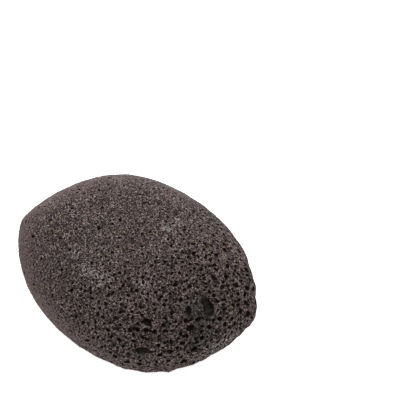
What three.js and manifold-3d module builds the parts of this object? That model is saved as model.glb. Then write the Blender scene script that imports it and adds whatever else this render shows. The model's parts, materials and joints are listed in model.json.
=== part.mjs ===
// Pumice stone: a hand-sized piece of dark, bubbly lava, rubbed into a pointed oval pillow.
// It formed as one piece, so it is one solid with its larger gas pits cut into it.
// Millimetres, +Z up. The origin is the middle of the flat underside, and +X runs along the
// stone to the end with the coarser pits.

import * as THREE from 'three';
import { mergeVertices } from 'three/addons/utils/BufferGeometryUtils.js';
import Module from 'manifold-3d';

// Overall size.
const LENGTH = 100;
const WIDTH = 77;
const HEIGHT = 43;

// Side view: where the stone is widest, how full its curves are above and below that level
// (2 is an ellipse, more is squarer), and how far past the underside the lower curve aims.
const WIDEST_LEVEL = 25;
const CROWN_FULLNESS = 3;
const BELLY_FULLNESS = 3;
const BELLY_REACH = 1.15;

// Plan view: an oval with pointed ends, the coarse one sharper, leaning a little, with low lobes
// round its edge.
const SIDE_FULLNESS = 2.1;
const END_FULLNESS = 1.24;
const FINE_TIP_ROUNDING = 0.2;
const COARSE_TIP_ROUNDING = 0.1;
const LEAN = 0.057;
const EDGE_LOBES = [
  { count: 4, height: 0.025, bearing: 37 },
  { count: 6, height: 0.0055, bearing: -10 },
];

// Gentle rises left by the rubbing, highest on top and fading to nothing at the underside.
const ROLL_HEIGHT = 0.35;
const ROLL_LENGTH = 9;

// Facets of the smooth form.
const FACETS_ROUND = 48;
const FACETS_UP = 18;

// The large pits, each placed on the form by its bearing round the plan from +X and its rise
// from the widest level to the top, in degrees, with its width, length and turn on the surface.
const LARGE_PITS = [
  { bearing: 328.5, rise: 45, width: 5, length: 6, turn: 65 },
  { bearing: 330, rise: 51, width: 3.8, length: 4.2, turn: 20 },
  { bearing: 317, rise: 51, width: 2.4, length: 4.4, turn: 75 },
  { bearing: 312.5, rise: 45, width: 1.8, length: 2.0, turn: 0 },
  { bearing: 313, rise: 38, width: 2.6, length: 3.4, turn: 10 },
  { bearing: 292, rise: 50, width: 3, length: 4, turn: 140 },
  { bearing: 291, rise: 43, width: 2.0, length: 2.2, turn: 0 },
  { bearing: 295, rise: 42, width: 2.0, length: 2.2, turn: 40 },
  { bearing: 289, rise: 21, width: 3.4, length: 6, turn: 0 },
  { bearing: 306, rise: -3, width: 2.6, length: 3.2, turn: 0 },
  { bearing: 311, rise: 14, width: 2.6, length: 2.9, turn: 30 },
  { bearing: 31, rise: 28, width: 2.2, length: 2.8, turn: 90 },
  { bearing: 18, rise: 29, width: 2.2, length: 3.0, turn: 90 },
  { bearing: 0, rise: 27, width: 2.0, length: 2.4, turn: 90 },
  { bearing: 39, rise: 48, width: 2.0, length: 2.2, turn: 20 },
  { bearing: 345, rise: 25, width: 1.8, length: 2.2, turn: 50 },
  { bearing: 339, rise: 51, width: 1.8, length: 2.0, turn: 0 },
  { bearing: 330, rise: 65, width: 1.7, length: 2.0, turn: 30 },
  { bearing: 321, rise: 70, width: 1.7, length: 1.9, turn: 0 },
  { bearing: 286, rise: 71, width: 1.7, length: 1.8, turn: 0 },
  { bearing: 246, rise: 47, width: 1.7, length: 1.9, turn: 60 },
  { bearing: 170, rise: 79, width: 1.7, length: 1.8, turn: 0 },
  { bearing: 52, rise: -12, width: 3.0, length: 5.0, turn: 15 },
  { bearing: 74, rise: 12, width: 2.8, length: 3.6, turn: 80 },
  { bearing: 128, rise: -20, width: 2.4, length: 3.2, turn: 40 },
  { bearing: 8, rise: -68, width: 4.2, length: 5.4, turn: 30 },
  { bearing: 330, rise: -75, width: 3.0, length: 3.8, turn: 60 },
];

// The lesser pits are scattered: wider towards the coarse end, with less stone left between them.
const SCATTER_SEED = 1913;
const SCATTER_TRIES = 6000;
const SCATTER_GAP = 7;
const SCATTER_GAP_COARSE = 1.2;
const SCATTER_WIDTH = 1.3;
const SCATTER_WIDTH_GROWTH = 0.9;
const SCATTER_STRETCH = 0.4;
const REST_POINT_CLEARANCE = 6;

// The coarse end lies at this bearing, and coarseness goes from 0 to 1 between the two distances.
const COARSE_BEARING = -30;
const COARSE_START = -12;
const COARSE_END = 36;

// A pit goes in by this share of its width, from a middle that lies a little above the surface.
const PIT_DEPTH = 0.55;
const PIT_LIFT = 0.12;
const LARGE_PIT = new THREE.IcosahedronGeometry(1, 1);
const LESSER_PIT = new THREE.SphereGeometry(1, 6, 2).rotateX(Math.PI / 2);

const STONE_COLOUR = '#4f4748';
const STONE_ROUGHNESS = 0.95;

const wasm = await Module();
wasm.setup();

const { clamp, degToRad, lerp, radToDeg, smoothstep } = THREE.MathUtils;

// A power that keeps the sign, for the curves of the oval.
const signedPower = (value, power) => Math.sign(value) * Math.abs(value) ** power;

// The edge's lobes at a bearing, as a factor on the plan.
function edgeLobes(bearing) {
  return EDGE_LOBES.reduce(
    (factor, lobe) => factor + lobe.height * Math.cos(lobe.count * (bearing - degToRad(lobe.bearing))),
    1,
  );
}

// How far out to the side the edge is at a bearing, as a share: it runs to a rounded tip at each end.
function sideShare(bearing) {
  const side = Math.sin(bearing);
  const towardsCoarse = (1 + Math.cos(bearing)) / 2;
  const rounding = lerp(FINE_TIP_ROUNDING, COARSE_TIP_ROUNDING, towardsCoarse);
  const taper = 1 / END_FULLNESS - 0.5;
  return side * ((side ** 2 + rounding ** 2) / (1 + rounding ** 2)) ** taper;
}

// The point of the stone's smooth form at a bearing and a rise, both in radians.
function formPoint(bearing, rise) {
  const upper = rise > 0;
  const ring = Math.abs(Math.cos(rise)) ** (2 / (upper ? CROWN_FULLNESS : BELLY_FULLNESS));
  const lobes = edgeLobes(bearing) / edgeLobes(0);
  const across = (WIDTH / 2) * sideShare(bearing);
  const along = (LENGTH / 2) * signedPower(Math.cos(bearing), 2 / SIDE_FULLNESS) - LEAN * across;
  const crown = WIDEST_LEVEL + (HEIGHT - WIDEST_LEVEL) * Math.sin(rise);
  const belly = Math.max(0, WIDEST_LEVEL * (1 + BELLY_REACH * Math.sin(rise)));
  const x = along * lobes * ring;
  const y = across * lobes * ring;
  const z = upper ? crown : belly;
  const roll = ROLL_HEIGHT * Math.sin(x / ROLL_LENGTH) * Math.cos(y / ROLL_LENGTH) * (z / HEIGHT);
  return new THREE.Vector3(x, y, z + roll);
}

// The directions round the smooth form and out of it there.
function formDirections(bearing, rise) {
  const step = 1e-3;
  const round = formPoint(bearing + step, rise).sub(formPoint(bearing - step, rise)).normalize();
  const up = formPoint(bearing, rise + step).sub(formPoint(bearing, rise - step));
  return { round, out: round.clone().cross(up).normalize() };
}

// A closed geometry as a solid that can be cut.
function solidOf(geometry) {
  const bare = geometry.clone();
  bare.deleteAttribute('normal');
  bare.deleteAttribute('uv');
  const merged = mergeVertices(bare, 1e-5);
  const vertProperties = new Float32Array(merged.attributes.position.array);
  const triVerts = new Uint32Array(merged.index.array);
  return new wasm.Manifold(new wasm.Mesh({ numProp: 3, vertProperties, triVerts }));
}

// The smooth form: a ball whose points are carried to the pillow.
function pillow() {
  const geometry = new THREE.SphereGeometry(1, FACETS_ROUND, FACETS_UP).rotateX(Math.PI / 2);
  const position = geometry.attributes.position;
  const onBall = new THREE.Vector3();
  for (let i = 0; i < position.count; i += 1) {
    onBall.fromBufferAttribute(position, i);
    const bearing = Math.atan2(onBall.y, onBall.x);
    const rise = Math.asin(clamp(onBall.z, -1, 1));
    position.setXYZ(i, ...formPoint(bearing, rise).toArray());
  }
  return solidOf(geometry);
}

// The cutter of one pit: a faceted shape, stretched and turned to lie along the surface.
function pitCutter(pit, shape) {
  const bearing = degToRad(pit.bearing);
  const rise = degToRad(pit.rise);
  const { round, out } = formDirections(bearing, rise);
  const depth = PIT_DEPTH * pit.width;
  const along = round.applyAxisAngle(out, degToRad(pit.turn));
  const across = out.clone().cross(along);
  const centre = formPoint(bearing, rise).addScaledVector(out, PIT_LIFT * depth);
  const place = new THREE.Matrix4()
    .makeBasis(along, across, out)
    .scale(new THREE.Vector3(pit.length / 2, pit.width / 2, depth))
    .setPosition(centre);
  return solidOf(shape.clone().applyMatrix4(place));
}

// How coarse the stone is at a point, from 0 at the fine end to 1 at the coarse end.
function coarseness(point) {
  const bearing = degToRad(COARSE_BEARING);
  const distance = point.x * Math.cos(bearing) + point.y * Math.sin(bearing);
  return smoothstep(distance, COARSE_START, COARSE_END);
}

// Repeatable draws from 0 to 1.
function seededDraws(seed) {
  let state = seed;
  return () => {
    state = (state * 16807) % 2147483647;
    return state / 2147483647;
  };
}

// The lesser pits: each try is kept where it is far enough from the pits already there.
function scatteredPits() {
  const draw = seededDraws(SCATTER_SEED);
  const restPoint = new THREE.Vector3(0, 0, 0);
  const taken = LARGE_PITS.map((pit) => ({
    point: formPoint(degToRad(pit.bearing), degToRad(pit.rise)),
    reach: pit.length / 2,
  }));
  taken.push({ point: restPoint, reach: REST_POINT_CLEARANCE });
  const pits = [];
  for (let tries = 0; tries < SCATTER_TRIES; tries += 1) {
    const bearing = 360 * draw();
    const rise = radToDeg(Math.asin(2 * draw() - 1));
    const size = draw();
    const stretch = draw();
    const turn = 180 * draw();
    const point = formPoint(degToRad(bearing), degToRad(rise));
    const coarse = coarseness(point);
    const width = SCATTER_WIDTH + SCATTER_WIDTH_GROWTH * coarse * size;
    const length = width * (1 + SCATTER_STRETCH * stretch);
    const reach = length / 2;
    const gap = lerp(SCATTER_GAP, SCATTER_GAP_COARSE, coarse);
    const clear = taken.every((other) => other.point.distanceTo(point) > other.reach + reach + gap);
    if (clear) {
      pits.push({ bearing, rise, width, length, turn });
      taken.push({ point, reach });
    }
  }
  return pits;
}

// The stone with its pits cut out, as a geometry.
function pittedStone() {
  const cutters = [
    ...LARGE_PITS.map((pit) => pitCutter(pit, LARGE_PIT)),
    ...scatteredPits().map((pit) => pitCutter(pit, LESSER_PIT)),
  ];
  const stone = cutters.reduce((solid, cutter) => solid.subtract(cutter), pillow());
  const { numProp, vertProperties, triVerts } = stone.getMesh();
  const geometry = new THREE.BufferGeometry();
  geometry.setAttribute('position', new THREE.BufferAttribute(vertProperties, numProp));
  geometry.setIndex(new THREE.BufferAttribute(triVerts, 1));
  geometry.computeVertexNormals();
  return geometry;
}

const pumice = new THREE.MeshStandardMaterial({
  color: STONE_COLOUR,
  roughness: STONE_ROUGHNESS,
  metalness: 0,
  flatShading: true,
});
const stone = new THREE.Mesh(pittedStone(), pumice);
stone.name = 'pumice_stone';

const part = new THREE.Group();
part.add(stone);

export default part;
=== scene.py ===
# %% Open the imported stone
import json
import math

import bpy
import numpy as np
from mathutils import Matrix, Vector
from mathutils.bvhtree import BVHTree

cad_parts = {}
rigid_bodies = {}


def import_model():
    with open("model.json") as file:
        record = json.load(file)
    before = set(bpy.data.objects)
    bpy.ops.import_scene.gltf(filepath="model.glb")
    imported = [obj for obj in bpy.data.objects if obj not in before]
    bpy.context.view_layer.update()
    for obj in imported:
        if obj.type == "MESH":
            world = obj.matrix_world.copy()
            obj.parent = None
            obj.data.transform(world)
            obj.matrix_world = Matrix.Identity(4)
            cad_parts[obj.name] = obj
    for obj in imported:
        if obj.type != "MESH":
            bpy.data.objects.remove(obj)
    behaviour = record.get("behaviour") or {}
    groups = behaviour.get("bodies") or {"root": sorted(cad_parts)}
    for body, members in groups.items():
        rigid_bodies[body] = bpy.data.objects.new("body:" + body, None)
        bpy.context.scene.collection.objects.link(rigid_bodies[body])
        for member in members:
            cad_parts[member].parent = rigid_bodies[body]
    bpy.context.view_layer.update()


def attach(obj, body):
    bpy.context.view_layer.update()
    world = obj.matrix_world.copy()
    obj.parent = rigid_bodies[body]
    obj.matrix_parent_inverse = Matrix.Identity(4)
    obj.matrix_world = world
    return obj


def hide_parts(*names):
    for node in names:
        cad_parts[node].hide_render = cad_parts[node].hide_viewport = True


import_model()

# %% [markdown]
# The stone is a piece of bubbly lava, rubbed until it became a pointed oval pillow. The lesson makes
# the pillow first, then cuts thousands of gas pores out of it, and then stands the crumbs of broken
# foam on what is left of the skin. Stone and crumbs share one material, which is told how deep inside
# a pore it is.
#
# The smooth form is worked out from two angles, a bearing round the plan and a rise from the
# widest level. It could be sculpted by hand, but a formula can be asked for the surface at any
# place, and the pores need that.

# %% The stone's form
MM = 0.001
LENGTH = 100 * MM
WIDTH = 77 * MM
HEIGHT = 43 * MM
WIDEST_LEVEL = 25 * MM
CROWN_FULLNESS = 3
BELLY_FULLNESS = 3
BELLY_REACH = 1.15
SIDE_FULLNESS = 2.1
END_FULLNESS = 1.24
FINE_TIP_ROUNDING = 0.2
COARSE_TIP_ROUNDING = 0.1
LEAN = 0.057
EDGE_LOBES = ((4, 0.025, 37), (6, 0.0055, -10))
ROLL_HEIGHT = 0.35 * MM
ROLL_LENGTH = 9 * MM
ANGLE_STEP = 1e-3


def edge_lobes(bearing):
    waves = [height * np.cos(count * (bearing - math.radians(at))) for count, height, at in EDGE_LOBES]
    return 1 + sum(waves)


def side_share(bearing):
    side = np.sin(bearing)
    towards_coarse = (1 + np.cos(bearing)) / 2
    rounding = FINE_TIP_ROUNDING + (COARSE_TIP_ROUNDING - FINE_TIP_ROUNDING) * towards_coarse
    taper = 1 / END_FULLNESS - 0.5
    return side * ((side**2 + rounding**2) / (1 + rounding**2)) ** taper


def form_point(bearing, rise):
    upper = rise > 0
    ring = np.abs(np.cos(rise)) ** (2 / np.where(upper, CROWN_FULLNESS, BELLY_FULLNESS))
    lobes = edge_lobes(bearing) / edge_lobes(0)
    across = WIDTH / 2 * side_share(bearing)
    ahead = np.cos(bearing)
    along = LENGTH / 2 * np.sign(ahead) * np.abs(ahead) ** (2 / SIDE_FULLNESS) - LEAN * across
    crown = WIDEST_LEVEL + (HEIGHT - WIDEST_LEVEL) * np.sin(rise)
    belly = np.maximum(0, WIDEST_LEVEL * (1 + BELLY_REACH * np.sin(rise)))
    x = along * lobes * ring
    y = across * lobes * ring
    z = np.where(upper, crown, belly)
    roll = ROLL_HEIGHT * np.sin(x / ROLL_LENGTH) * np.cos(y / ROLL_LENGTH) * z / HEIGHT
    return np.stack([x, y, z + roll], axis=-1)


def steps_on_form(bearing, rise):
    around = form_point(bearing + ANGLE_STEP, rise) - form_point(bearing - ANGLE_STEP, rise)
    up = form_point(bearing, rise + ANGLE_STEP) - form_point(bearing, rise - ANGLE_STEP)
    return around, up


def form_directions(bearing, rise):
    around, up = steps_on_form(bearing, rise)
    out = np.cross(around, up)
    around = around / np.linalg.norm(around, axis=-1, keepdims=True)
    return around, out / np.linalg.norm(out, axis=-1, keepdims=True)


print("top of the form:", form_point(np.array(0.0), np.array(math.pi / 2)))

# %% [markdown]
# One end of the stone is coarser than the other. There the bubbles were larger, and the broken surface
# is lumpy, by a few tenths of a millimetre. Lumps could be a Displace modifier with a texture, but a sum
# of waves in many directions is as irregular, and can be told to fade out towards the flat underside.

# %% The coarse end and its lumps
COARSE_BEARING = math.radians(-30)
COARSE_START = -12 * MM
COARSE_END = 36 * MM
LUMP_HEIGHT = 0.22 * MM
LUMP_FINE_SHARE = 0.3
LUMP_LENGTHS = (4.5 * MM, 9 * MM)
LUMP_WAVES = 16
LUMP_SEED = 5
LUMP_FREE_HEIGHT = (1 * MM, 8 * MM)


def smooth_step(value, low, high):
    share = np.clip((value - low) / (high - low), 0, 1)
    return share * share * (3 - 2 * share)


def coarseness(points):
    distance = points[..., 0] * math.cos(COARSE_BEARING) + points[..., 1] * math.sin(COARSE_BEARING)
    return smooth_step(distance, COARSE_START, COARSE_END)


def lumps(points):
    rng = np.random.default_rng(LUMP_SEED)
    directions = rng.normal(0, 1, (LUMP_WAVES, 3))
    directions = directions / np.linalg.norm(directions, axis=1, keepdims=True)
    turns = directions * (2 * math.pi / rng.uniform(*LUMP_LENGTHS, LUMP_WAVES))[:, None]
    waves = np.cos(points @ turns.T + rng.uniform(0, 2 * math.pi, LUMP_WAVES)).sum(axis=1)
    strength = LUMP_FINE_SHARE + (1 - LUMP_FINE_SHARE) * coarseness(points)
    free = smooth_step(points[:, 2], *LUMP_FREE_HEIGHT)
    return LUMP_HEIGHT * waves / math.sqrt(LUMP_WAVES / 2) * strength * free


for tip in (0, math.pi):
    print("coarseness at a tip:", coarseness(form_point(np.array(tip), np.array(0.0))))

# %% [markdown]
# A ball from the Add menu has the same two angles in its own points, so each point only has to be
# carried to its place on the form, and then out or in by the lumps. The ball is fine enough that its
# facets don't show in outline.

# %% The pillow
PILLOW_SEGMENTS = 104
PILLOW_RINGS = 45

bpy.ops.object.select_all(action="DESELECT")
bpy.ops.mesh.primitive_uv_sphere_add(
    segments=PILLOW_SEGMENTS, ring_count=PILLOW_RINGS, radius=1, calc_uvs=False
)
stone = bpy.context.object
stone.name = "pumice_stone_porous"


def mesh_points(mesh):
    flat = np.empty(len(mesh.vertices) * 3)
    mesh.vertices.foreach_get("co", flat)
    return flat.reshape(-1, 3)


on_ball = mesh_points(stone.data)
bearings = np.arctan2(on_ball[:, 1], on_ball[:, 0])
rises = np.arcsin(np.clip(on_ball[:, 2], -1, 1))
on_form = form_point(bearings, rises)
_, out = form_directions(bearings, rises)
lumpy = on_form + out * lumps(on_form)[:, None]
stone.data.vertices.foreach_set("co", lumpy.ravel())
stone.data.update()
uncut = BVHTree.FromObject(stone, bpy.context.evaluated_depsgraph_get())
print("pillow:", len(stone.data.vertices), "points, size", list(stone.dimensions))

# %% [markdown]
# Gas bubbles were frozen into the lava, and rubbing the stone sliced them open. Each pore is a small
# ball taken away from the surface, or a cone where it is so small that few faces must do. One ball is
# modelled and copied to every spot, each copy bulging a little differently. All the copies are joined
# into a single cutter, because one Boolean modifier with one big cutter takes seconds where thousands
# of modifiers would take hours. The copies in it never touch, since a cutter that runs through itself
# would leave scraps behind. Pores that do run into others have a cutter of their own, and the two
# cutters are united before the stone is cut.
#
# A spot has a place on the formula's form, which is used to measure distances, and a point on the mesh
# of the pillow, which is where the copy goes.

# %% Pores and how they are cut
COPY_LIFT = 0.12
WAVES_PER_RADIUS = 2
CONE_SIZE = 1.2
CONE_MIDDLE = -0.4


class Spots:
    def __init__(self, bearing, rise, width, length, turn, depth):
        self.place = form_point(bearing, rise)
        self.point = np.array([uncut.find_nearest(place)[0] for place in self.place])
        around, self.out = form_directions(bearing, rise)
        beside = np.cross(self.out, around)
        cosine, sine = np.cos(turn)[:, None], np.sin(turn)[:, None]
        self.along = around * cosine + beside * sine
        self.across = np.cross(self.out, self.along)
        self.width, self.length, self.depth = width, length, depth

    def __len__(self):
        return len(self.width)


def pore_ball(segments, rings):
    bpy.ops.object.select_all(action="DESELECT")
    bpy.ops.mesh.primitive_uv_sphere_add(segments=segments, ring_count=rings, radius=1)
    return bpy.context.object


def pore_cone(sides):
    bpy.ops.object.select_all(action="DESELECT")
    bpy.ops.mesh.primitive_cone_add(
        vertices=sides, radius1=0, radius2=CONE_SIZE, depth=CONE_SIZE, location=(0, 0, CONE_MIDDLE)
    )
    bpy.ops.object.transform_apply(location=True)
    return bpy.context.object


def copies_at(spots, shape, unevenness, rng, name="pore_cutter"):
    points = mesh_points(shape.data)
    faces = [list(face.vertices) for face in shape.data.polygons]
    bpy.data.objects.remove(shape)
    waves = rng.normal(0, WAVES_PER_RADIUS, (len(spots), 3, 3))
    starts = rng.uniform(0, 2 * math.pi, (len(spots), 1, 3))
    bumps = 1 + unevenness * np.cos(points @ waves + starts).sum(axis=2, keepdims=True) / 3
    shaped = points[None] * bumps
    placed = (spots.point + spots.out * (COPY_LIFT * spots.depth)[:, None])[:, None]
    placed = placed + shaped[..., 0:1] * (spots.along * spots.length[:, None] / 2)[:, None]
    placed = placed + shaped[..., 1:2] * (spots.across * spots.width[:, None] / 2)[:, None]
    placed = placed + shaped[..., 2:3] * (spots.out * spots.depth[:, None])[:, None]
    joined = [[corner + n * len(points) for corner in face] for n in range(len(spots)) for face in faces]
    mesh = bpy.data.meshes.new(name)
    mesh.from_pydata(placed.reshape(-1, 3), [], joined)
    copies = bpy.data.objects.new(name, mesh)
    bpy.context.scene.collection.objects.link(copies)
    return copies


def select_only(piece):
    bpy.ops.object.select_all(action="DESELECT")
    bpy.context.view_layer.objects.active = piece
    piece.select_set(True)


def join(cutters):
    bpy.ops.object.select_all(action="DESELECT")
    for cutter in cutters:
        cutter.select_set(True)
    bpy.context.view_layer.objects.active = cutters[0]
    bpy.ops.object.join()
    return cutters[0]


def apply_boolean(piece, operation, tool):
    modifier = piece.modifiers.new("pores", "BOOLEAN")
    modifier.operation = operation
    modifier.solver = "MANIFOLD"
    modifier.object = tool
    select_only(piece)
    bpy.ops.object.modifier_apply(modifier=modifier.name)
    bpy.data.objects.remove(tool)
    piece.data.calc_loop_triangles()
    print(operation, "leaves", piece.name, "with", len(piece.data.loop_triangles), "triangles")


# %% [markdown]
# The large pits are placed one by one, where the stone shows them, and the lesser ones are scattered.
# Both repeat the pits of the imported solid, so the scatter makes its draws with the same small
# sequence of whole numbers. A row holds a pit's bearing and rise in degrees, its width and length in
# millimetres, and its turn. The hollow in the side of the largest pit runs into it, so it goes to the
# second cutter.

# %% The large and lesser pits
LARGE_PITS = (
    (328.5, 45, 5, 6, 65),
    (330, 51, 3.8, 4.2, 20),
    (317, 51, 2.4, 4.4, 75),
    (312.5, 45, 1.8, 2.0, 0),
    (313, 38, 2.6, 3.4, 10),
    (292, 50, 3, 4, 140),
    (291, 43, 2.0, 2.2, 0),
    (295, 42, 2.0, 2.2, 40),
    (289, 21, 3.4, 6, 0),
    (306, -3, 2.6, 3.2, 0),
    (311, 14, 2.6, 2.9, 30),
    (31, 28, 2.2, 2.8, 90),
    (18, 29, 2.2, 3.0, 90),
    (0, 27, 2.0, 2.4, 90),
    (39, 48, 2.0, 2.2, 20),
    (345, 25, 1.8, 2.2, 50),
    (339, 51, 1.8, 2.0, 0),
    (330, 65, 1.7, 2.0, 30),
    (321, 70, 1.7, 1.9, 0),
    (286, 71, 1.7, 1.8, 0),
    (246, 47, 1.7, 1.9, 60),
    (170, 79, 1.7, 1.8, 0),
    (52, -12, 3.0, 5.0, 15),
    (74, 12, 2.8, 3.6, 80),
    (128, -20, 2.4, 3.2, 40),
    (8, -68, 4.2, 5.4, 30),
    (330, -75, 3.0, 3.8, 60),
)
SCATTER_SEED = 1913
DRAW_FACTOR = 16807
DRAW_MODULUS = 2147483647
SCATTER_TRIES = 6000
SCATTER_GAP = 7 * MM
SCATTER_GAP_COARSE = 1.2 * MM
SCATTER_WIDTH = 1.3 * MM
SCATTER_WIDTH_GROWTH = 0.9 * MM
SCATTER_STRETCH = 0.4
REST_POINT_CLEARANCE = 6 * MM
PIT_DEPTH = 0.62
SIDE_HOLLOW = 1
SHAPE_SEED = 7
LARGE_UNEVENNESS = 0.12
LESSER_UNEVENNESS = 0.45


def seeded_draws(seed):
    state = seed
    while True:
        state = state * DRAW_FACTOR % DRAW_MODULUS
        yield state / DRAW_MODULUS


def pits_from(rows):
    bearing, rise, width, length, turn = np.array(rows).T
    bearing, rise, turn = np.radians(bearing), np.radians(rise), np.radians(turn)
    return Spots(bearing, rise, width, length, turn, PIT_DEPTH * width)


def lesser_pit_rows(large):
    draws = seeded_draws(SCATTER_SEED)
    places = [*large.place, np.zeros(3)]
    reaches = [*(large.length / 2), REST_POINT_CLEARANCE]
    rows = []
    for _ in range(SCATTER_TRIES):
        bearing = 360 * next(draws)
        rise = math.degrees(math.asin(2 * next(draws) - 1))
        size, stretch = next(draws), next(draws)
        turn = 180 * next(draws)
        place = form_point(np.radians(bearing), np.radians(rise))
        coarse = coarseness(place)
        width = SCATTER_WIDTH + SCATTER_WIDTH_GROWTH * coarse * size
        length = width * (1 + SCATTER_STRETCH * stretch)
        gap = SCATTER_GAP + (SCATTER_GAP_COARSE - SCATTER_GAP) * coarse
        apart = np.linalg.norm(np.array(places) - place, axis=1)
        if np.all(apart > np.array(reaches) + length / 2 + gap):
            rows.append((bearing, rise, width, length, turn))
            places.append(place)
            reaches.append(length / 2)
    return rows


rng = np.random.default_rng(SHAPE_SEED)
large_rows = [
    (bearing, rise, width * MM, length * MM, turn)
    for bearing, rise, width, length, turn in LARGE_PITS
]
large_pits = pits_from(large_rows)
lesser_pits = pits_from(lesser_pit_rows(large_pits))
side_hollow = pits_from([large_rows.pop(SIDE_HOLLOW)])
cutters = [
    copies_at(pits_from(large_rows), pore_ball(segments=16, rings=10), LARGE_UNEVENNESS, rng),
    copies_at(lesser_pits, pore_ball(segments=8, rings=5), LESSER_UNEVENNESS, rng),
]
merging_cutters = [copies_at(side_hollow, pore_ball(segments=16, rings=10), LARGE_UNEVENNESS, rng)]
print(len(LARGE_PITS), "large pits and", len(lesser_pits), "lesser ones")

# %% [markdown]
# The rest of the pores are too many to place by hand. Places are drawn at random, evenly over the
# surface, and a place is kept only if its pore would leave a wall of stone to its neighbours. That
# is how bubbles sit in foam: crowded, but each one whole.

# %% Places for the small pores
DRAWS_PER_TRY = 4
FULL_AREA_PERCENTILE = 99.5
GRID_CELL = 3 * MM
PORE_WALL = 0.18 * MM


def even_places(tries, rng):
    count = tries * DRAWS_PER_TRY
    bearing = rng.uniform(0, 2 * math.pi, count)
    rise = rng.uniform(-math.pi / 2, math.pi / 2, count)
    area = np.linalg.norm(np.cross(*steps_on_form(bearing, rise)), axis=1)
    keep = rng.uniform(0, np.percentile(area, FULL_AREA_PERCENTILE), count) < area
    return bearing[keep], rise[keep]


class Crowd:
    def __init__(self, wall):
        self.wall = wall
        self.grid = {}

    def cells(self, place, reach):
        low = np.floor((place - reach - self.wall) / GRID_CELL).astype(int)
        high = np.floor((place + reach + self.wall) / GRID_CELL).astype(int)
        return [
            (i, j, k)
            for i in range(low[0], high[0] + 1)
            for j in range(low[1], high[1] + 1)
            for k in range(low[2], high[2] + 1)
        ]

    def add(self, place, reach):
        for cell in self.cells(place, reach):
            self.grid.setdefault(cell, []).append((*place, reach))

    def has_room(self, place, reach):
        near = [row for cell in self.cells(place, reach) for row in self.grid.get(cell, ())]
        if not near:
            return True
        near = np.array(near)
        return np.all(np.linalg.norm(near[:, :3] - place, axis=1) > near[:, 3] + reach + self.wall)

    def add_all(self, spots):
        for place, length in zip(spots.place, spots.length):
            self.add(place, length / 2)


crowd = Crowd(PORE_WALL)
crowd.add_all(large_pits)
crowd.add_all(lesser_pits)


def crowded_spots(crowd, width_of, seed, tries, most, stretch, depth):
    rng = np.random.default_rng(seed)
    bearing, rise = even_places(tries, rng)
    width = width_of(form_point(bearing, rise), rng)
    kept = width > 0
    bearing, rise, width = bearing[kept], rise[kept], width[kept]
    length = width * (1 + stretch * rng.uniform(0, 1, len(width)))
    turn = rng.uniform(0, math.pi, len(width))
    kept = []
    for n, place in enumerate(form_point(bearing, rise)):
        if len(kept) < most and crowd.has_room(place, length[n] / 2):
            crowd.add(place, length[n] / 2)
            kept.append(n)
    width, length = width[kept], length[kept]
    print(len(kept), "spots", width.min(), "to", width.max(), "m wide")
    return Spots(bearing[kept], rise[kept], width, length, turn[kept], depth * width)


# %% [markdown]
# Three kinds of pore are left. Middling ones crowd the coarse end. Merging ones ignore them, so that some
# pores open into each other, as bubbles do that met while the lava was soft. Fine ones are everywhere.
# Each kind has a function that draws a width for every place, and 0 where it has no pore.

# %% How wide the pores are
MIDDLING = {"seed": 11, "tries": 9000, "most": 1200, "stretch": 0.5, "depth": 0.7}
MIDDLING_WIDTHS = (0.9 * MM, 1.2 * MM)
MIDDLING_GROWTH = 0.6 * MM
MIDDLING_FINE_SHARE = 0.05
MIDDLING_UNEVENNESS = 0.5
MERGING = {"seed": 13, "tries": 9000, "most": 300, "stretch": 0.5, "depth": 0.6}
MERGING_WIDTHS = (0.9 * MM, 1.5 * MM)
MERGING_APART = 1.5 * MM
MERGING_UNEVENNESS = 0.3
FINE = {"seed": 12, "tries": 60000, "most": 5600, "stretch": 0.45, "depth": 0.8}
FINE_WIDTHS = (0.5 * MM, 0.9 * MM)
FINE_SHARE = 0.6
FINE_UNEVENNESS = 0.3


def middling_width(points, rng):
    coarse = coarseness(points)
    least, most = MIDDLING_WIDTHS
    width = rng.uniform(least, most + MIDDLING_GROWTH * coarse)
    share = MIDDLING_FINE_SHARE + (1 - MIDDLING_FINE_SHARE) * coarse
    return np.where(rng.uniform(0, 1, len(coarse)) < share, width, 0)


def merging_width(points, rng):
    coarse = coarseness(points)
    width = rng.uniform(*MERGING_WIDTHS, len(coarse))
    return np.where(rng.uniform(0, 1, len(coarse)) < coarse**2, width, 0)


def fine_width(points, rng):
    coarse = coarseness(points)
    width = rng.uniform(*FINE_WIDTHS, len(coarse))
    share = FINE_SHARE + (1 - FINE_SHARE) * coarse
    return np.where(rng.uniform(0, 1, len(coarse)) < share, width, 0)


print("pores of at most", MIDDLING["most"], MERGING["most"], "and", FINE["most"], "places")

# %% [markdown]
# Now each kind is scattered and made into cutters. The merging cutter is joined to the other by a UNION,
# and then one DIFFERENCE cuts the stone.

# %% Cut the middling, merging and fine pores
middling = crowded_spots(crowd, middling_width, **MIDDLING)
cutters.append(copies_at(middling, pore_ball(segments=6, rings=3), MIDDLING_UNEVENNESS, rng))
merging_crowd = Crowd(MERGING_APART)
merging_crowd.add_all(side_hollow)
merging = crowded_spots(merging_crowd, merging_width, **MERGING)
merging_cutters.append(copies_at(merging, pore_ball(segments=6, rings=3), MERGING_UNEVENNESS, rng))
pore_sets = [large_pits, lesser_pits, middling, merging]
fine = crowded_spots(crowd, fine_width, **FINE)
cutters.append(copies_at(fine, pore_cone(sides=5), FINE_UNEVENNESS, rng))
pore_sets.append(fine)
pore_tool = join(cutters)
apply_boolean(pore_tool, "UNION", join(merging_cutters))
apply_boolean(stone, "DIFFERENCE", pore_tool)

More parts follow.
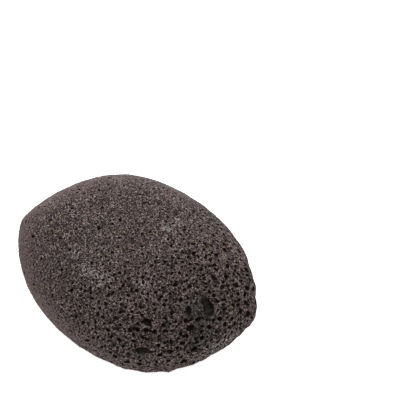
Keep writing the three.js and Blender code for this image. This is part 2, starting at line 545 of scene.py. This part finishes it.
# %% [markdown]
# The cut leaves faces with many corners, and here and there a scrap: a splinter that hangs loose between
# two pores, or a flap without thickness. Other programs read triangles, so the faces are divided into
# well-shaped ones. After that the tip of a flap is a point where only two edges meet, and a splinter is
# whatever isn't linked to the top of the stone. Both are selected and deleted. Where two points share
# one place, other programs would weld them, so one of them is smoothed a little aside.

# %% Triangles without scraps
PLACE_DIGITS = 7
SMOOTH_SHARE = 0.5


def edit(piece, *steps):
    select_only(piece)
    bpy.ops.object.mode_set(mode="EDIT")
    for operator, settings in steps:
        operator(**settings)
    bpy.ops.mesh.select_all(action="DESELECT")
    bpy.ops.object.mode_set(mode="OBJECT")


def numbers_of(items, name, each=1):
    numbers = np.empty(len(items) * each, int)
    items.foreach_get(name, numbers)
    return numbers


def flap_tips(mesh):
    meeting = np.bincount(numbers_of(mesh.edges, "vertices", 2), minlength=len(mesh.vertices))
    return meeting == 2


def twins(mesh):
    _, first = np.unique(mesh_points(mesh).round(PLACE_DIGITS), axis=0, return_index=True)
    chosen = np.ones(len(mesh.vertices), bool)
    chosen[first] = False
    return chosen


delete_selected = (bpy.ops.mesh.delete, {"type": "VERT"})
edit(
    stone,
    (bpy.ops.mesh.select_all, {"action": "SELECT"}),
    (bpy.ops.mesh.quads_convert_to_tris, {"quad_method": "BEAUTY", "ngon_method": "BEAUTY"}),
)
while flap_tips(stone.data).any():
    stone.data.vertices.foreach_set("select", flap_tips(stone.data))
    edit(stone, delete_selected)
top = mesh_points(stone.data)[:, 2].argmax()
stone.data.vertices[top].select = True
edit(
    stone,
    (bpy.ops.mesh.select_linked, {}),
    (bpy.ops.mesh.select_all, {"action": "INVERT"}),
    delete_selected,
)
print(twins(stone.data).sum(), "points share their place with another")
stone.data.vertices.foreach_set("select", twins(stone.data))
edit(stone, (bpy.ops.mesh.vertices_smooth, {"factor": SMOOTH_SHARE}))
print("clean stone:", len(stone.data.polygons), "triangles")

# %% [markdown]
# Inside a pore the stone looks almost black. Part of that is shade, which the renderer finds by
# itself, and the rest is painted shade in a dark red-brown: the cut pores are shallower than real ones, so
# the material darkens a point by its depth. The material can't see where a pore is, so each point is
# given its depth below the uncut pillow, as an attribute of the mesh.

# %% Depth below the surface
def on_pillow(mesh):
    found = [uncut.find_nearest(vertex.co) for vertex in mesh.vertices]
    places = np.array([place for place, _, _, _ in found])
    return places, [distance / MM for _, _, _, distance in found]


skin, depths = on_pillow(stone.data)
stone.data.attributes.new("depth_mm", "FLOAT", "POINT").data.foreach_set("value", depths)
print("deepest point:", round(max(depths), 2), "mm under the surface")

# %% [markdown]
# The material will need no map, but colours that are carried to another program are painted on one.
# Blender could unwrap the stone by itself, and would cut it into thousands of scraps, one for each side
# of a pore. Here the skin is peeled off the pillow in two pieces, crown and belly, and pressed flat: a
# point keeps its bearing, and lies as far from the middle as a thread laid over the edge would reach.
# A point in a pore is mapped where it would lie on the uncut pillow.

# %% The skin, peeled flat
MAP_NAME = "OFBake"
PEEL_MARGIN = 2 * MM


def peeled(points, drop):
    plan = points[:, :2]
    reach = np.linalg.norm(plan, axis=1)
    return plan * (1 + drop / np.maximum(reach, PEEL_MARGIN))[:, None]


def peel(mesh, skin):
    corner_point = numbers_of(mesh.loops, "vertex_index")
    first_corner = numbers_of(mesh.polygons, "loop_start")
    corner_count = numbers_of(mesh.polygons, "loop_total")
    face_height = np.add.reduceat(skin[corner_point, 2], first_corner) / corner_count
    on_crown = np.repeat(face_height > WIDEST_LEVEL, corner_count)
    crown = peeled(skin, HEIGHT - skin[:, 2])[corner_point]
    belly = peeled(skin, skin[:, 2])[corner_point]
    belly[:, 1] += crown[on_crown, 1].max() - belly[~on_crown, 1].min() + PEEL_MARGIN
    flat = np.where(on_crown[:, None], crown, belly)
    flat = flat - flat.min(axis=0) + PEEL_MARGIN
    flat = flat / (flat.max(axis=0) + PEEL_MARGIN)
    mesh.uv_layers.new(name=MAP_NAME).data.foreach_set("uv", flat.ravel())


peel(stone.data, skin)
print("map of", len(stone.data.loops), "corners")

# %% [markdown]
# Low on the sides of the fine end and along the edge of the underside, the stone has been rubbed smoother.
# The same band is also painted lighter, which is painted light: bounce light from the floor low down and
# rim light along the back edge. The low part of the far side is taken to have been sheltered, and is less
# worn. The wear could be painted by hand as vertex weights. A formula is used, because the crumbs and the
# material both ask for it. The height is measured along a line that leans a little, so that the band, with
# its painted rim light, reaches higher at the back and on the left.

# %% Where rubbing has worn the stone, and where light is painted on
WEAR_AND_PAINTED_LIGHT_UP = (0.08, -0.1, 1)
WEAR_AND_PAINTED_LIGHT_TOP = 39 * MM
WEAR_AND_PAINTED_LIGHT_FULL = 28 * MM
EDGE_TOP = 16 * MM
EDGE_FULL = 8 * MM
EDGE_SHARE = 0.7
FORWARD_UP = (0, -0.5, 1)
SHELTERED_TOP = 17 * MM
SHELTERED_FULL = 8 * MM
SHELTERED_SHARE = 0.35


# share of wear in the rubbed band, which also places the painted light
def wear_and_painted_light_share(points):
    height = points @ np.array(WEAR_AND_PAINTED_LIGHT_UP)
    side = (1 - smooth_step(height, WEAR_AND_PAINTED_LIGHT_FULL, WEAR_AND_PAINTED_LIGHT_TOP)) * (1 - coarseness(points))
    edge = 1 - smooth_step(height, EDGE_FULL, EDGE_TOP)
    open_share = smooth_step(points @ np.array(FORWARD_UP), SHELTERED_FULL, SHELTERED_TOP)
    shelter = SHELTERED_SHARE + (1 - SHELTERED_SHARE) * open_share
    return np.maximum(side, EDGE_SHARE * edge) * shelter


print("mean share of wear on the skin:", wear_and_painted_light_share(skin).mean().round(2))

# %% [markdown]
# Between the pores the skin is still as smooth as the pillow, and broken foam never is: bits of the
# walls between bubbles stand up from it, sharp and well under a millimetre. A Displace modifier would
# need a far finer mesh, so each bit is a crumb of its own, a low pyramid with its foot in the stone,
# set only where no pore is. They are drawn and placed as the pores are, and make one mesh. Where the
# stone has been rubbed, most of them are gone.

# %% Crumbs of broken wall
CRUMB_FOOT = -0.5
CRUMB_TIP = 1.0
CRUMB_SIDES = 4
CRUMB_OVERLAP = 0.06 * MM
CRUMBS = {"seed": 14, "tries": 120000, "most": 30000, "stretch": 0.6, "depth": 0.45}
CRUMB_WIDTHS = (0.3 * MM, 0.55 * MM)
CRUMB_UNEVENNESS = 0.4
CRUMB_WEAR = 0.9
FLAT_UNDERSIDE = 1 * MM
RIM_ANGLE = math.radians(35)


def crumb_pyramid(sides):
    bpy.ops.object.select_all(action="DESELECT")
    height = CRUMB_TIP - CRUMB_FOOT
    middle = (0, 0, CRUMB_FOOT + height / 2)
    bpy.ops.mesh.primitive_cone_add(vertices=sides, radius1=1, radius2=0, depth=height, location=middle)
    bpy.ops.object.transform_apply(location=True)
    return bpy.context.object


def crumb_width(points, rng):
    width = rng.uniform(*CRUMB_WIDTHS, len(points))
    kept = rng.uniform(0, 1, len(points)) > CRUMB_WEAR * wear_and_painted_light_share(points)
    return np.where(kept & (points[:, 2] > FLAT_UNDERSIDE), width, 0)


crumb_crowd = Crowd(-CRUMB_OVERLAP)
for spots in pore_sets:
    crumb_crowd.add_all(spots)
crumb_spots = crowded_spots(crumb_crowd, crumb_width, **CRUMBS)
crumbs = copies_at(crumb_spots, crumb_pyramid(CRUMB_SIDES), CRUMB_UNEVENNESS, rng, "pumice_crumbs")
peel(crumbs.data, on_pillow(crumbs.data)[0])
for piece in (stone, crumbs):
    select_only(piece)
    bpy.ops.object.shade_smooth_by_angle(angle=RIM_ANGLE)

# %% [markdown]
# The material is written as sums on wires: one small class holds an output of a node, and adding or
# multiplying two of them places the Math node that does it.

# %% A helper for shader sums
class Wire:
    def __init__(self, tree, socket=None):
        self.tree = tree
        self.socket = socket

    def node(self, kind, settings=None, inputs=None, output=0):
        made = self.tree.nodes.new(kind)
        for name, value in (settings or {}).items():
            setattr(made, name, value)
        for name, value in (inputs or {}).items():
            if isinstance(value, Wire):
                self.tree.links.new(value.socket, made.inputs[name])
            else:
                made.inputs[name].default_value = value
        return Wire(self.tree, made.outputs[output])

    def maths(self, operation, *values):
        return self.node("ShaderNodeMath", {"operation": operation}, dict(enumerate(values)))

    def __add__(self, other):
        return self.maths("ADD", self, other)

    def __sub__(self, other):
        return self.maths("SUBTRACT", self, other)

    def __rsub__(self, other):
        return self.maths("SUBTRACT", other, self)

    def __mul__(self, other):
        return self.maths("MULTIPLY", self, other)

    __radd__ = __add__
    __rmul__ = __mul__

    def step(self, low, high):
        limits = {"Value": self, "From Min": low, "From Max": high}
        return self.node("ShaderNodeMapRange", {"interpolation_type": "SMOOTHSTEP"}, limits)

    def mix(self, first, second):
        inputs = {"Factor": self, 6: first, 7: second}
        return self.node("ShaderNodeMix", {"data_type": "RGBA"}, inputs, output=2)


# %% [markdown]
# Pumice is foam all the way down: between the pores that can be counted there are still smaller ones,
# under a millimetre. They are too many for mesh, so they are cells of a Voronoi pattern. A cell's own
# random number tells whether it is open, its edges stay as walls, and the same pattern both darkens the
# colour, as painted shade in the open cells, and sinks the surface. Towards the coarse end a second, wider
# foam joins the first.

# %% The finest foam
FINE_CELL = 0.52 * MM
FINE_OPEN_SHARE = 0.55
WIDE_CELL = 1.15 * MM
WIDE_OPEN_SHARE = 0.3
OPEN_BLEND = 0.1
FOAM_WALL = (0.04, 0.12)


def distance_along(wire, place, direction):
    settings = {"operation": "DOT_PRODUCT"}
    return wire.node("ShaderNodeVectorMath", settings, {0: place, 1: direction}, output="Value")


def coarse_side(wire, place):
    towards = (math.cos(COARSE_BEARING), math.sin(COARSE_BEARING), 0)
    return distance_along(wire, place, towards).step(COARSE_START, COARSE_END)


def draw_per_cell(wire, place, cell):
    cells = {"Vector": place, "Scale": 1 / cell}
    colour = wire.node("ShaderNodeTexVoronoi", inputs=cells, output="Color")
    return wire.node("ShaderNodeSeparateColor", inputs={"Color": colour}, output="Red")


def foam_of(wire, place, cell, open_share):
    cells = {"Vector": place, "Scale": 1 / cell}
    to_wall = wire.node("ShaderNodeTexVoronoi", {"feature": "DISTANCE_TO_EDGE"}, cells, output="Distance")
    is_open = (open_share - draw_per_cell(wire, place, cell)).step(-OPEN_BLEND, OPEN_BLEND)
    return is_open * to_wall.step(*FOAM_WALL)


def finest_foam(wire, place):
    fine = foam_of(wire, place, FINE_CELL, FINE_OPEN_SHARE)
    wide = foam_of(wire, place, WIDE_CELL, WIDE_OPEN_SHARE * coarse_side(wire, place))
    return wire.maths("MAXIMUM", fine, wide)


# %% [markdown]
# The colour of the lava is a dull mauve grey. It isn't one colour: it drifts from warmer to greyer over
# a few centimetres, it is greener round the largest pits, and pale dust sits in a few places on top.
# Two more pale patches make the low edge of the coarse end paler. In two pits one side is painted as lit:
# there the painted shade of the pores is taken away. Where rubbing has taken the crumbs off, it has also
# closed many of the finest pores and left the stone smoother and pinker; that band is painted lighter as
# well, as painted light from the floor low down and from behind along the back rim. All of it is measured
# on Object coordinates, so it is fixed in the stone and the same from every side. A patch is given by its
# bearing and rise in degrees and its radius in millimetres.

# %% Where the colour changes
DRIFT_SIZE = 22 * MM
GREEN_PATCHES = ((322, 46, 9), (316, 27, 7), (311, 17, 4), (287, 15, 4), (26, 28, 4))
# pale dust on top; the last two patches make the low edge of the coarse end paler
DUST_AND_PALE_EDGE_PATCHES = (
    (222, 67, 4),
    (241, 66, 4),
    (255, 69, 5),
    (292, 76, 4),
    (68, 77, 4),
    (66, 70, 3),
    (320, -2, 7),
    (329, 0, 7),
)
# sides of two pits that are painted as lit
PAINTED_LIT_PIT_SIDES = ((287, 14.5, 2.6), (290.5, 15.5, 2.6), (330, 52, 2.8))
PATCH_CORE = 0.3
WEAR_AND_PAINTED_LIGHT_WANDER = 14 * MM
NOISE_ROUGHNESS = 0.6
NOISE_MIDDLE = 0.5


def noise(wire, place, size, detail):
    inputs = {"Vector": place, "Scale": 1 / size, "Detail": detail, "Roughness": NOISE_ROUGHNESS}
    return wire.node("ShaderNodeTexNoise", inputs=inputs)


def patches(wire, place, rows):
    settings = {"operation": "DISTANCE"}
    total = None
    for bearing, rise, radius in rows:
        point = form_point(np.radians(bearing), np.radians(rise))
        away = wire.node("ShaderNodeVectorMath", settings, {0: place, 1: point}, output="Value")
        patch = 1 - away.step(PATCH_CORE * radius * MM, radius * MM)
        total = patch if total is None else wire.maths("MAXIMUM", total, patch)
    return total


# the rubbed band: worn smoother, and painted lighter as painted light from the floor and along the back
# rim
def wear_and_painted_light(wire, place):
    height = distance_along(wire, place, WEAR_AND_PAINTED_LIGHT_UP)
    wander = WEAR_AND_PAINTED_LIGHT_WANDER * (noise(wire, place, DRIFT_SIZE, detail=4) - NOISE_MIDDLE)
    side = (1 - (height + wander).step(WEAR_AND_PAINTED_LIGHT_FULL, WEAR_AND_PAINTED_LIGHT_TOP)) * (1 - coarse_side(wire, place))
    edge = 1 - height.step(EDGE_FULL, EDGE_TOP)
    forward = distance_along(wire, place, FORWARD_UP) + wander
    open_share = forward.step(SHELTERED_FULL, SHELTERED_TOP)
    shelter = SHELTERED_SHARE + (1 - SHELTERED_SHARE) * open_share
    return wire.maths("MAXIMUM", side, EDGE_SHARE * edge) * shelter


# %% [markdown]
# Inside a pore the colour is painted nearly black, as painted shade. The floor of a large pit gets a paler
# painted shade, because light can reach it. Everything is matte: the shine of the glass in the lava is
# broken up by the foam.

# %% The lava's material
GRAIN_SIZE = 0.3 * MM
FLECK_SIZE = 1.6 * MM
GRAIN_LOSS_TO_WEAR_AND_PAINTED_LIGHT = 0.65
FOAM_LOSS_TO_WEAR_AND_PAINTED_LIGHT = 0.55
DRIFT_RANGE = (0.35, 0.65)
DARK_GRAINS = (0.0, 0.52)
LIGHT_GRAINS = (0.7, 1.0)
GREEN_GRAIN_LOSS = 0.6
DUST_GRAINS = (0.25, 0.5)
DUST_FLECKS = (0.36, 0.5)
DUST_COVER = 0.95
FOAM_SHADE_COVER = 0.95
PORE_SHADE_DEPTH = (0.01, 0.16)
PAINTED_LIT_SIDE_SHARE = 0.8
FLOOR_DEPTH = (0.9, 1.8)
FLOOR_FLECKS = (0.35, 0.6)
GRAIN_HEIGHT = 0.5
BUMP_STRENGTH = 0.8
BUMP_DISTANCE = 0.3 * MM
LAVA_ROUGHNESS = 0.95
LAVA_SHINE = 0.15
MAUVE_GREY = (0.150, 0.110, 0.103, 1)
COOL_GREY = (0.129, 0.104, 0.098, 1)
COARSE_MAUVE = (0.180, 0.135, 0.127, 1)
# colour of the rubbed band, which is wear and also painted light
RUBBED_PINK_AND_PAINTED_LIGHT = (0.147, 0.106, 0.103, 1)
GREEN_GREY = (0.098, 0.099, 0.088, 1)
PALE_DUST_AND_EDGE = (0.420, 0.375, 0.365, 1)
DARK_GRAIN = (0.030, 0.021, 0.019, 1)
LIGHT_GRAIN = (0.450, 0.366, 0.352, 1)
# painted shade inside the pores and in the open foam cells
PORE_SHADE = (0.015, 0.0085, 0.0080, 1)
# paler painted shade on the floors of the large pits
PIT_FLOOR_SHADE = (0.042, 0.025, 0.022, 1)
GREEN_PIT_FLOOR_SHADE = (0.056, 0.057, 0.048, 1)


def lava_material():
    material = bpy.data.materials.new("pumice_lava")
    material.use_nodes = True
    tree = material.node_tree
    shader = tree.nodes["Principled BSDF"]
    wire = Wire(tree)
    place = wire.node("ShaderNodeTexCoord", output="Object")
    depth = wire.node("ShaderNodeAttribute", {"attribute_name": "depth_mm"}, output="Fac")
    coarse = coarse_side(wire, place)
    # the rubbed band: wear, and painted light from the floor low down and along the back rim
    worn_and_painted_light = wear_and_painted_light(wire, place)
    foam = finest_foam(wire, place) * (1 - FOAM_LOSS_TO_WEAR_AND_PAINTED_LIGHT * worn_and_painted_light)
    green = patches(wire, place, GREEN_PATCHES)
    grains = draw_per_cell(wire, place, GRAIN_SIZE)
    flecks = noise(wire, place, FLECK_SIZE, detail=1)

    colour = noise(wire, place, DRIFT_SIZE, detail=3).step(*DRIFT_RANGE).mix(MAUVE_GREY, COOL_GREY)
    colour = coarse.mix(colour, COARSE_MAUVE)
    colour = worn_and_painted_light.mix(colour, RUBBED_PINK_AND_PAINTED_LIGHT)
    colour = green.mix(colour, GREEN_GREY)
    dark = (1 - grains.step(*DARK_GRAINS)) * (1 - GRAIN_LOSS_TO_WEAR_AND_PAINTED_LIGHT * worn_and_painted_light)
    colour = dark.mix(colour, DARK_GRAIN)
    light = grains.step(*LIGHT_GRAINS) * (1 - GRAIN_LOSS_TO_WEAR_AND_PAINTED_LIGHT * worn_and_painted_light) * (1 - GREEN_GRAIN_LOSS * green)
    colour = light.mix(colour, LIGHT_GRAIN)
    # pale dust on top, and the last two patches make the low edge of the coarse end paler
    dust_and_pale_edge = patches(wire, place, DUST_AND_PALE_EDGE_PATCHES) * grains.step(*DUST_GRAINS) * flecks.step(*DUST_FLECKS)
    colour = (DUST_COVER * dust_and_pale_edge).mix(colour, PALE_DUST_AND_EDGE)
    # painted shade in the open cells of the finest foam
    colour = (FOAM_SHADE_COVER * foam).mix(colour, PORE_SHADE)
    # painted shade inside the pores by depth, taken away on the sides of two pits that are painted as lit
    painted_lit_side = patches(wire, place, PAINTED_LIT_PIT_SIDES)
    pore_shaded = depth.step(*PORE_SHADE_DEPTH) * (1 - PAINTED_LIT_SIDE_SHARE * painted_lit_side)
    colour = pore_shaded.mix(colour, PORE_SHADE)
    # a paler painted shade on the floors of the large pits, where light reaches
    pit_floor_shade = green.mix(PIT_FLOOR_SHADE, GREEN_PIT_FLOOR_SHADE)
    colour = (depth.step(*FLOOR_DEPTH) * flecks.step(*FLOOR_FLECKS)).mix(colour, pit_floor_shade)
    height = GRAIN_HEIGHT * grains - foam
    relief = {"Height": height, "Strength": BUMP_STRENGTH, "Distance": BUMP_DISTANCE}
    bump = wire.node("ShaderNodeBump", inputs=relief)
    tree.links.new(colour.socket, shader.inputs["Base Color"])
    tree.links.new(bump.socket, shader.inputs["Normal"])
    shader.inputs["Roughness"].default_value = LAVA_ROUGHNESS
    shader.inputs["Specular IOR Level"].default_value = LAVA_SHINE
    print("material", material.name, "has", len(tree.nodes), "nodes")
    return material


lava = lava_material()
for piece in (stone, crumbs):
    piece.data.materials.clear()
    piece.data.materials.append(lava)
    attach(piece, "root")
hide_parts("pumice_stone")

# %% [markdown]
# The studio is a sheet of white glass lit from below, as photographers use to lose the shadow, with one
# broad soft lamp above the stone and another low behind it. The floor matters for more than looks: the
# light that it throws up fills the lower sides of the stone.

# %% Floor and light
FLOOR_SIDE = 4
FLOOR_WHITE = (0.9, 0.9, 0.9, 1)
FLOOR_ROUGHNESS = 0.9
FLOOR_GLOW = 0.82
SKY_LIGHT = 0.45
PURE_WHITE = (1, 1, 1, 1)

bpy.ops.object.select_all(action="DESELECT")
bpy.ops.mesh.primitive_plane_add(size=FLOOR_SIDE)
floor = bpy.context.object
floor.name = "studio_floor"
floor_material = bpy.data.materials.new("studio_floor")
floor_material.use_nodes = True
floor_shader = floor_material.node_tree.nodes["Principled BSDF"]
floor_shader.inputs["Base Color"].default_value = FLOOR_WHITE
floor_shader.inputs["Roughness"].default_value = FLOOR_ROUGHNESS
floor_shader.inputs["Emission Color"].default_value = PURE_WHITE
floor_shader.inputs["Emission Strength"].default_value = FLOOR_GLOW
floor.data.materials.append(floor_material)

world = bpy.data.worlds.new("studio_sky")
world.use_nodes = True
sky = world.node_tree.nodes["Background"]
sky.inputs["Color"].default_value = PURE_WHITE
sky.inputs["Strength"].default_value = SKY_LIGHT
bpy.context.scene.world = world


def soft_lamp(name, place, target, side, power):
    bpy.ops.object.select_all(action="DESELECT")
    bpy.ops.object.light_add(type="AREA", location=place)
    lamp = bpy.context.object
    lamp.name = name
    lamp.data.size = side
    lamp.data.energy = power
    lamp.rotation_euler = (Vector(target) - Vector(place)).to_track_quat("-Z", "Y").to_euler()
    print(name, "at", place)


soft_lamp("soft_lamp_above", place=(-0.35, 0.5, 1.0), target=(0, 0, 0.02), side=1.0, power=9.5)
soft_lamp("soft_lamp_behind", place=(-0.45, 1.0, 0.2), target=(0, 0, 0.03), side=0.6, power=10.5)

# %% [markdown]
# The camera looks down on the stone from well above, with the coarse tip turned towards it. It is
# placed by four measures of the photograph: the turn, the height angle, the distance and the place of
# the stone's middle in the square frame. The camera is turned a little off the stone, and not
# shifted, so that it stays level with the stone's middle in its own picture.

# %% The camera
PHOTO_SIDE = 400
STONE_IN_PHOTO = (136.6, 273.2)
PIXELS_PER_METRE = 2548
VIEW_TURN = math.radians(24.9)
VIEW_HEIGHT_ANGLE = math.radians(60)
VIEW_DISTANCE_PIXELS = 1800
VIEW_DISTANCE = VIEW_DISTANCE_PIXELS / PIXELS_PER_METRE
SENSOR_WIDTH_MM = 36

middle = Vector((0, 0, HEIGHT / 2))
right = Vector((math.cos(VIEW_TURN), math.sin(VIEW_TURN), 0))
level_ahead = Vector((-math.sin(VIEW_TURN), math.cos(VIEW_TURN), 0))
back = Vector((0, 0, math.sin(VIEW_HEIGHT_ANGLE))) - level_ahead * math.cos(VIEW_HEIGHT_ANGLE)
up = back.cross(right)
off_right = (PHOTO_SIDE / 2 - STONE_IN_PHOTO[0]) / PIXELS_PER_METRE
off_up = (STONE_IN_PHOTO[1] - PHOTO_SIDE / 2) / PIXELS_PER_METRE
eye = middle + back * VIEW_DISTANCE
turn_back = (eye - (middle + right * off_right + up * off_up)).normalized()
turn_right = up.cross(turn_back).normalized()
turn_up = turn_back.cross(turn_right)

bpy.ops.object.camera_add(location=eye)
camera = bpy.context.object
camera.name = "photo_camera"
camera.data.sensor_width = SENSOR_WIDTH_MM
camera.data.lens = SENSOR_WIDTH_MM * VIEW_DISTANCE_PIXELS / PHOTO_SIDE
facing = Matrix((turn_right, turn_up, turn_back)).transposed().to_4x4()
camera.matrix_world = Matrix.Translation(eye) @ facing
bpy.context.scene.camera = camera
bpy.context.scene.view_settings.view_transform = "Standard"
print("camera lens", camera.data.lens, "mm at", list(eye))
